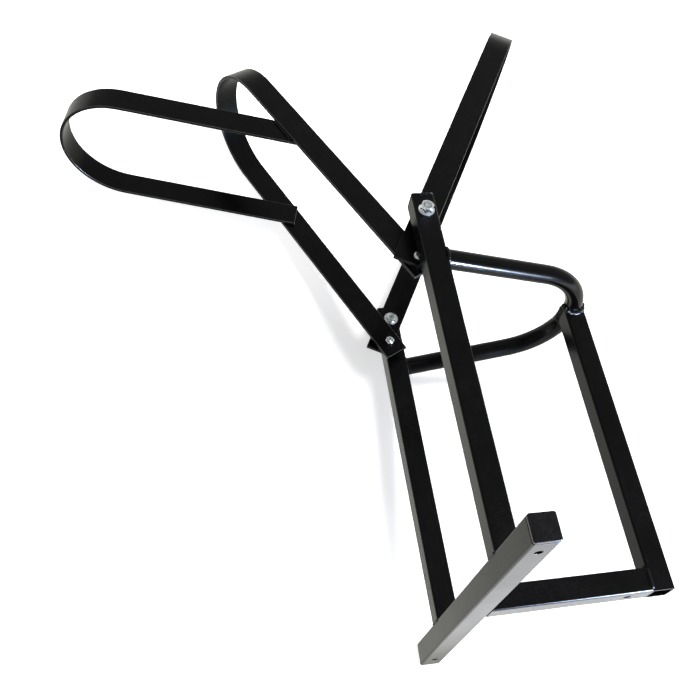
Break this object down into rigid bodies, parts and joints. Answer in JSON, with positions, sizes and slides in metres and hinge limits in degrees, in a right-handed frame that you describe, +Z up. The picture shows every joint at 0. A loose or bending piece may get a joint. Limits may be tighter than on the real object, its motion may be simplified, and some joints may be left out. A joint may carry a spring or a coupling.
{
  "type": "bicycle wall rack",
  "caption": "Folding bicycle rack: T-shaped square-tube base with screw holes, braced uprights and nested flat-bar loops that swing on pivots to cradle the bicycle.",
  "frame": {"origin": "middle of the crossbar on the fixing plane, halfway between its two screw holes", "axes": "+X along the crossbar and the pivots, +Y along the stem towards the rear upright, +Z up the uprights, away from the fixing plane at Z = 0"},
  "size_m": [0.433, 0.6112, 0.7848],
  "materials": {
    "black_powder_coat": "satin black powder coat",
    "black_plastic": "moulded black plastic",
    "zinc_plated_steel": "bright zinc plate"
  },
  "bodies": {
    "frame": {"crossbar": "black_powder_coat", "stem_tube": "black_powder_coat", "rear_upright": "black_powder_coat", "upright_left": "black_powder_coat", "upright_right": "black_powder_coat", "hoop_tube": "black_powder_coat", "crossbar_plug_left": "black_plastic", "crossbar_plug_right": "black_plastic", "upright_plug_left": "black_plastic", "upright_plug_right": "black_plastic", "upright_welds": "black_powder_coat", "stem_welds": "black_powder_coat", "rear_welds": "black_powder_coat", "hoop_welds": "black_powder_coat", "pivot_bolts": "zinc_plated_steel", "pivot_nuts": "zinc_plated_steel", "pivot_spacers": "zinc_plated_steel"},
    "cradle": {"cradle_loop": "black_powder_coat", "fold_spacers": "zinc_plated_steel", "fold_bolts": "zinc_plated_steel", "fold_nuts": "zinc_plated_steel"},
    "arm": {"arm_loop": "black_powder_coat", "hook_loop": "black_powder_coat", "hook_welds": "black_powder_coat"}
  },
  "joints": [
    {"name": "cradle_pivot", "type": "hinge", "parent": "frame", "child": "cradle", "pos_m": [0, 0, 0.4055], "axis": [1, 0, 0], "range_deg": [-73, 65]},
    {"name": "arm_fold", "type": "hinge", "parent": "cradle", "child": "arm", "pos_m": [0, -0.0105, 0.366], "axis": [1, 0, 0], "range_deg": [-50, 20]}
  ]
}
